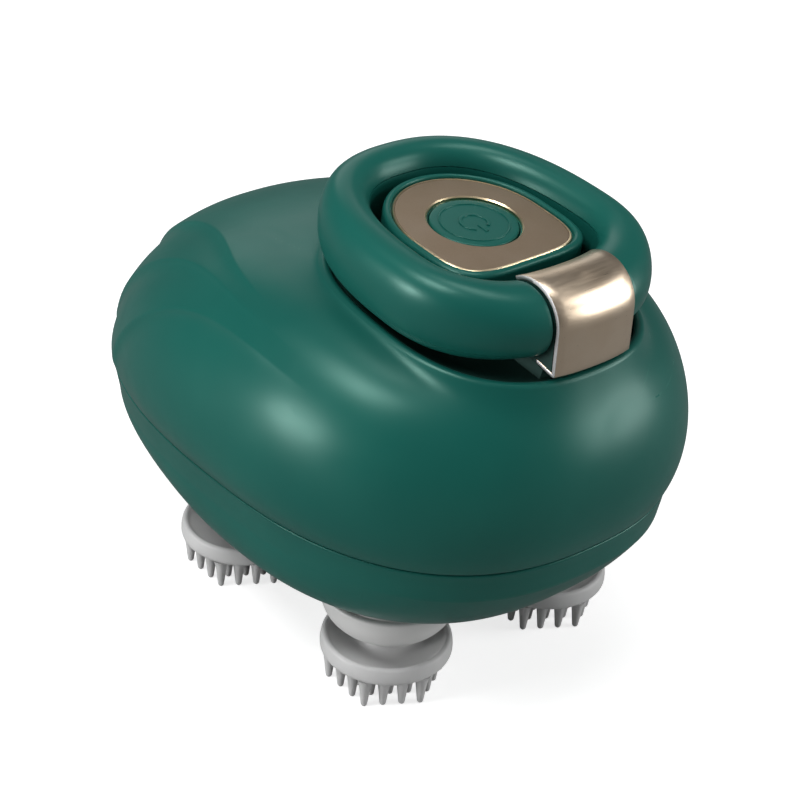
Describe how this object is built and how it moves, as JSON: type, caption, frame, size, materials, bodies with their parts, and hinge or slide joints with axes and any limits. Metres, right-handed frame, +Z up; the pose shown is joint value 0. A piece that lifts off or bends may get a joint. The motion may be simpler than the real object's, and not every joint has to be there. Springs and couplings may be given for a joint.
{
  "type": "electric scalp massager",
  "caption": "Egg-shaped hand-held massager on spinning finger heads, with a power button in a pod on top and a flip-up oval ring handle hinged under a gold strap.",
  "frame": {"origin": "middle of the four massage heads, on the plane of the finger tips", "axes": "+X towards the hinge strap, +Z up out of the button, +Y to the left of someone who looks along +X"},
  "size_m": [0.1302, 0.0962, 0.0971],
  "materials": {
    "moulded_green": "satin deep green moulded plastic",
    "deck_green": "satin dark green moulded plastic",
    "bronze": "brushed bronze anodised",
    "gold_trim": "polished champagne gold",
    "gold_strap": "satin champagne gold",
    "grey_silicone": "satin mid grey silicone",
    "grey_plastic": "satin mid grey plastic",
    "black_rubber": "matt black",
    "steel": "bright zinc",
    "gear_nylon": "natural white acetal",
    "bronze_bush": "sintered bronze",
    "board": "green solder mask",
    "black_plastic": "matt black",
    "cell_wrap": "blue shrink sleeve",
    "lead_wire": "red insulation"
  },
  "bodies": {
    "casing": {"upper_shell": "moulded_green", "lower_shell": "moulded_green", "shell_gasket": "black_rubber", "shell_screws": "steel", "collar_deck": "deck_green", "pod_housing": "moulded_green", "face_plate": "bronze", "plate_trim": "gold_trim", "hinge_strap": "gold_strap", "hinge_post": "moulded_green", "post_screws": "steel", "hinge_washers": "black_plastic", "button_seal": "black_rubber", "tact_switch": "black_plastic", "control_board": "board", "board_screws": "steel", "gearbox_base": "gear_nylon", "gearbox_cover": "gear_nylon", "gearbox_screws": "steel", "lower_bushes": "bronze_bush", "upper_bushes": "bronze_bush", "shaft_seals": "black_rubber", "sun_axle": "steel", "motor_can": "steel", "motor_cap": "black_plastic", "motor_screws": "steel", "battery_cell": "cell_wrap", "battery_cradle": "gear_nylon", "battery_leads": "lead_wire", "motor_leads": "lead_wire", "charge_board": "board", "charge_socket": "steel", "socket_plug": "moulded_green", "charge_leads": "lead_wire"},
    "ring_handle": {"ring_upper": "moulded_green", "ring_lower": "moulded_green", "ring_screws": "steel", "hinge_pin": "steel"},
    "button": {"power_button": "moulded_green"},
    "sun": {"sun_wheel": "gear_nylon"},
    "rotor": {"motor_shaft": "steel", "motor_pinion": "bronze_bush"},
    "head_1": {"head_gear_1": "gear_nylon", "head_shaft_1": "steel", "head_cup_1": "grey_plastic", "head_pad_1": "grey_silicone"},
    "head_2": {"head_gear_2": "gear_nylon", "head_shaft_2": "steel", "head_cup_2": "grey_plastic", "head_pad_2": "grey_silicone"},
    "head_3": {"head_gear_3": "gear_nylon", "head_shaft_3": "steel", "head_cup_3": "grey_plastic", "head_pad_3": "grey_silicone"},
    "head_4": {"head_gear_4": "gear_nylon", "head_shaft_4": "steel", "head_cup_4": "grey_plastic", "head_pad_4": "grey_silicone"}
  },
  "joints": [
    {"name": "ring_flip", "type": "hinge", "parent": "casing", "child": "ring_handle", "pos_m": [0.0424, 0, 0.0852], "axis": [0, 1, 0], "range_deg": [0, 95]},
    {"name": "button_press", "type": "slide", "parent": "casing", "child": "button", "axis": [-0.0906, 0, -0.9959], "range_m": [0, 0.0006], "stiffness_N_per_m": 900, "springref_m": -0.0006},
    {"name": "sun_spin", "type": "hinge", "parent": "casing", "child": "sun", "pos_m": [0, 0, 0.031], "axis": [0, 0, 1], "continuous": true},
    {"name": "motor_spin", "type": "hinge", "parent": "casing", "child": "rotor", "pos_m": [-0.018, 0, 0.036], "axis": [0, 0, 1], "continuous": true},
    {"name": "head_spin_1", "type": "hinge", "parent": "casing", "child": "head_1", "pos_m": [0.024, -0.021, 0.03], "axis": [0, 0, 1], "continuous": true},
    {"name": "head_spin_2", "type": "hinge", "parent": "casing", "child": "head_2", "pos_m": [-0.024, -0.021, 0.03], "axis": [0, 0, 1], "continuous": true},
    {"name": "head_spin_3", "type": "hinge", "parent": "casing", "child": "head_3", "pos_m": [0.024, 0.021, 0.03], "axis": [0, 0, 1], "continuous": true},
    {"name": "head_spin_4", "type": "hinge", "parent": "casing", "child": "head_4", "pos_m": [-0.024, 0.021, 0.03], "axis": [0, 0, 1], "continuous": true}
  ],
  "couplings": [
    {"joint": "motor_spin", "follows": "sun_spin", "ratio": -3.5},
    {"joint": "head_spin_1", "follows": "sun_spin", "ratio": -1.2857},
    {"joint": "head_spin_2", "follows": "sun_spin", "ratio": -1.2857},
    {"joint": "head_spin_3", "follows": "sun_spin", "ratio": -1.2857},
    {"joint": "head_spin_4", "follows": "sun_spin", "ratio": -1.2857}
  ]
}
